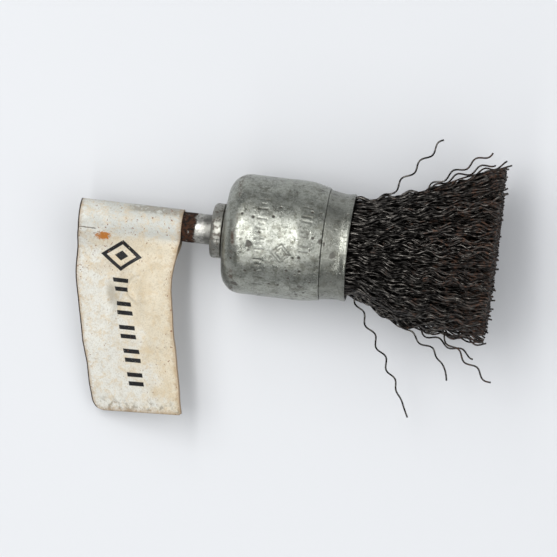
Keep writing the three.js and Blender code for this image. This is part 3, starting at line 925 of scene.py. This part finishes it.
def label_paper():
    """Lacquered label stock: a greyer white round the shank, partly its own colour and partly painted
    light for the loop's lit top, yellowed and stained along the flag, with a plain black print of a
    diamond and five pairs of bars."""
    s = Shader("label_paper")
    along = s.attribute("along")
    across = s.attribute("across")
    edge = s.attribute("edge")
    underside = s.attribute("underside")

    # The loop round the shank is a greyer white: partly the paper's own colour, partly painted light for the
    # stronger light on the loop's top.
    paper = s.mix(s.between(along, 2.2, 4.5), (0.50, 0.51, 0.475), (0.61, 0.545, 0.42))
    towards_white = s.plus(across, s.times(along, 0.35))
    patchy = s.spread(s.noise(3.5, detail=6, roughness=0.7), -16, 16)
    white = s.between(s.plus(towards_white, patchy), 2.0, 11.0)
    paper = s.tint(paper, white, 0.9, (0.62, 0.62, 0.575))
    stain = s.between(s.noise(6.5, detail=5, roughness=0.62, distortion=0.6), 0.5, 0.7)
    stain = s.times(stain, s.between(along, 3.0, 7.0))
    paper = s.tint(paper, stain, 0.5, (0.47, 0.375, 0.235))
    smudge = s.between(s.noise(2.0, detail=6, roughness=0.78), 0.55, 0.72)
    paper = s.tint(paper, smudge, 0.62, (0.33, 0.29, 0.22))
    cream = s.between(s.noise(1.6, detail=6, roughness=0.75, distortion=0.5), 0.48, 0.62)
    paper = s.tint(paper, cream, 0.6, (0.55, 0.44, 0.285))
    dust = s.between(s.noise(0.3, detail=4, roughness=0.7), 0.46, 0.66)
    paper = s.tint(paper, dust, 0.42, (0.36, 0.31, 0.235))
    # Painted shade: a dark grey-brown patch in the hollow of the flag's deepest dent.
    hollow = s.plus(s.oval(along, across, 15.2, 2.9, 3.6, 1.5),
                    s.spread(s.noise(1.2, detail=4), -0.4, 0.4))
    paper = s.tint(paper, s.between(hollow, 1.1, 0.2), 0.6, (0.24, 0.21, 0.16))
    # Darker in patches on the front half of the loop, on its side away from the flag.
    dark_loop_front = s.times(s.between(along, -1.5, -2.3), s.between(across, 1.5, -1.0))
    dark_loop_front = s.times(dark_loop_front, s.between(s.noise(0.8, detail=4), 0.35, 0.5))
    paper = s.tint(paper, dark_loop_front, 0.8, (0.26, 0.245, 0.205))

    ragged = s.plus(edge, s.spread(s.noise(0.8, detail=4), 0.9, -0.9))
    grime = s.times(s.between(s.minus(LABEL_REACH, along), 4.0, 0.6),
                    s.between(s.noise(1.5, detail=5, roughness=0.7), 0.48, 0.62))
    paper = s.tint(paper, grime, 0.75, (0.2, 0.175, 0.13))
    worn_edge = s.between(ragged, 1.1, 0.1)
    paper = s.tint(paper, worn_edge, 0.6, (0.33, 0.225, 0.125))

    from_middle = s.minus(across, s.spread(along, 0.9, -0.6, from_low=8.0, from_high=31.0))
    print_mask = s.greater(diamond(s, along, from_middle), bars(s, along, from_middle))
    wear = s.between(s.noise(0.35, detail=4, roughness=0.7), 0.36, 0.3)
    print_mask = s.times(print_mask, s.inverse(wear))
    print_mask = s.times(print_mask, s.inverse(underside))
    paper = s.mix(print_mask, paper, (0.006, 0.006, 0.007))

    near_loop = s.between(along, 14.0, 2.0)
    near_front = s.between(across, -7.0, -10.2)
    near_rear = s.between(across, 6.5, 9.8)
    busy = s.greater(near_loop, s.greater(near_front, near_rear))
    limit = s.plus(s.spread(busy, 0.652, 0.622), s.spread(s.noise(7.0), 0.09, -0.09))
    over = s.minus(s.noise(0.6, detail=5, roughness=0.65), limit)
    specks = s.times(s.between(over, 0.0, 0.025), s.spread(busy, 0.6, 0.85))
    paper = s.mix(specks, paper, (0.17, 0.06, 0.026))

    reach = s.plus(s.oval(along, across, 3.7, 5.0, 0.9, 1.8),
                   s.spread(s.noise(0.6, detail=5, roughness=0.7), -1.5, 1.5))
    rust = s.times(s.between(reach, 0.95, 0.5), s.inverse(underside))
    paper = s.mix(rust, paper, (0.42, 0.15, 0.022))

    # The cut edges are brown. Along the rear edge the band is wider and near black: painted shade of the edge and
    # of the underside beside it.
    rear = s.between(across, 9.0, 9.5)
    edge_and_shade = s.between(edge, s.spread(rear, 0.09, 0.34), s.spread(rear, 0.01, 0.2))
    edge_and_shade_colour = s.mix(rear, (0.30, 0.22, 0.145), (0.04, 0.027, 0.018))
    paper = s.mix(edge_and_shade, paper, edge_and_shade_colour)
    # A dark line of painted shade where the two plies part at a slit, near the rear end of the loop.
    slit = s.plus(along, s.spread(s.noise(2.0, detail=3), -2.75, -2.05))
    slit = s.times(s.between(s.math("ABSOLUTE", slit), 0.13, 0.06),
                   s.between(across, 6.6, 7.0))
    paper = s.tint(paper, slit, 0.85, (0.07, 0.05, 0.035))
    fibre = s.noise(0.28, detail=4, roughness=0.65)
    handled = s.noise(1.6, detail=4)
    normal = s.bump(fibre, 0.045, 0.6)
    normal = s.bump(handled, 0.16, 0.6, under=normal)
    roughness = s.plus(s.spread(stain, 0.42, 0.6), s.spread(fibre, -0.05, 0.05))
    return s.finish(paper, roughness, 0.0, normal, Specular_IOR_Level=0.3)


def stroke(s, distance, width):
    """1 within half a width of distance 0, with a soft edge."""
    return s.between(s.math("ABSOLUTE", distance), width / 2 + 0.05, width / 2 - 0.05)


def diamond(s, along, from_middle):
    """A diamond outline with a small solid one inside it, near the loop."""
    centre = 7.2
    reach = 2.85
    u = s.times(s.minus(along, centre), 1.07)
    v = s.times(from_middle, 0.76)
    from_centre = s.plus(s.math("ABSOLUTE", u), s.math("ABSOLUTE", v))
    outline = stroke(s, s.minus(from_centre, reach), 0.95)
    return s.greater(outline, s.between(from_centre, 1.15, 1.05))


def bars(s, along, from_middle):
    """Five pairs of short bars down the middle of the flag."""
    pitch = 4.65
    first = 10.7
    length = 3.5
    pairs = 5.0
    steps_along = s.math("DIVIDE", s.minus(along, first), pitch)
    place = s.times(s.minus(s.math("FRACT", steps_along), 0.5), pitch)
    pair = stroke(s, s.minus(s.math("ABSOLUTE", place), 0.88), 0.85)
    in_width = stroke(s, from_middle, length)
    in_row = s.times(s.math("GREATER_THAN", steps_along, 0.0),
                     s.math("LESS_THAN", steps_along, pairs))
    return s.times(s.times(pair, in_width), in_row)


# ---------------------------------------------------------------- floor, light and camera


# Which way is right and up in the camera's picture; it looks straight down at AIM, a place along
# the brush's own axes, from CAMERA_HEIGHT metres above it.
VIEW_RIGHT = Vector((0.9932, 0.1164, 0))
VIEW_UP = Vector((-0.1164, 0.9932, 0))
AIM = (-13.745, -8.12, 0)
AIM_HEIGHT = 0.012
CAMERA_HEIGHT = 0.8
LENS_MM = 258.5


def studio():
    """A pale floor, a pale room, three soft lights, and the camera straight above."""
    s = Shader("pale_floor")
    cloud = s.noise(160, detail=2)
    grain = s.noise(0.6, detail=3)
    colour = s.mix(cloud, (0.60, 0.61, 0.628), (0.63, 0.64, 0.655))
    material = s.finish(colour, s.spread(grain, 0.6, 0.7), 0.0, s.bump(grain, 0.02, 0.3))
    mesh = bpy.data.meshes.new("pale_floor")
    reach = 2.5
    mesh.from_pydata([(x * reach, y * reach, 0) for x, y in ((-1, -1), (1, -1), (1, 1), (-1, 1))],
                     [], [(0, 1, 2, 3)])
    mesh.materials.append(material)
    floor = bpy.data.objects.new("pale_floor", mesh)
    bpy.context.scene.collection.objects.link(floor)

    world = bpy.data.worlds.new("pale_room")
    world.use_nodes = True
    background = world.node_tree.nodes["Background"]
    background.inputs["Color"].default_value = (0.94, 0.965, 1.0, 1.0)
    background.inputs["Strength"].default_value = 0.42
    bpy.context.scene.world = world
    bpy.context.scene.view_settings.view_transform = "Standard"

    middle = Vector(to_row(AIM))
    middle.z = AIM_HEIGHT
    soft_light("overhead_panel", middle, (-0.36, 0.19, 0.8), (0.46, 0.7), 3.9)
    soft_light("side_strip", middle, (-0.234, 0, 0.817), (0.073, 2.4), 8.0)
    soft_light("fill_panel", middle, (0.42, -0.05, 0.75), (0.8, 1.2), 1.15)

    data = bpy.data.cameras.new("camera")
    data.sensor_width = 36
    data.lens = LENS_MM
    data.clip_start = 0.01
    camera = bpy.data.objects.new("camera", data)
    camera.location = middle + Vector((0, 0, CAMERA_HEIGHT))
    camera.rotation_euler = (0, 0, math.atan2(VIEW_RIGHT.y, VIEW_RIGHT.x))
    bpy.context.scene.collection.objects.link(camera)
    bpy.context.scene.camera = camera


def soft_light(name, target, away, size, brightness):
    """A rectangular light that faces the target from a place given to the camera's right, up
    the picture and above. The second number of its size is how long it is up the picture."""
    data = bpy.data.lights.new(name, "AREA")
    data.shape = "RECTANGLE"
    data.size, data.size_y = size
    data.energy = brightness * math.pi * size[0] * size[1]
    light = bpy.data.objects.new(name, data)
    place = VIEW_RIGHT * away[0] + VIEW_UP * away[1] + Vector((0, 0, away[2]))
    backwards = place.normalized()
    right = VIEW_UP.cross(backwards).normalized()
    facing = Matrix((right, backwards.cross(right), backwards)).transposed()
    light.matrix_world = Matrix.Translation(target + place) @ facing.to_4x4()
    bpy.context.scene.collection.objects.link(light)


# ---------------------------------------------------------------- make everything

zinc = zinc_plate()
turned_steel = shank_steel()
wire = wire_steel()
inside_steel = inner_steel()

for build, node, material, slot in (
    (shank, "shank", turned_steel, "shank_steel"),
    (shank_collar, "shank_collar", zinc, "zinc_plate"),
    (cup_shell, "cup_shell", zinc, "zinc_plate"),
    (mouth_band, "mouth_band", zinc, "zinc_plate"),
):
    piece = build(material)
    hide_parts(node)

wire_bundle(wire)
stray_wires(wire)
for node in ("clamp_washer", "retaining_ring"):
    frame["nodes"][node].material_slots[0].material = inside_steel
label(label_paper())
studio()
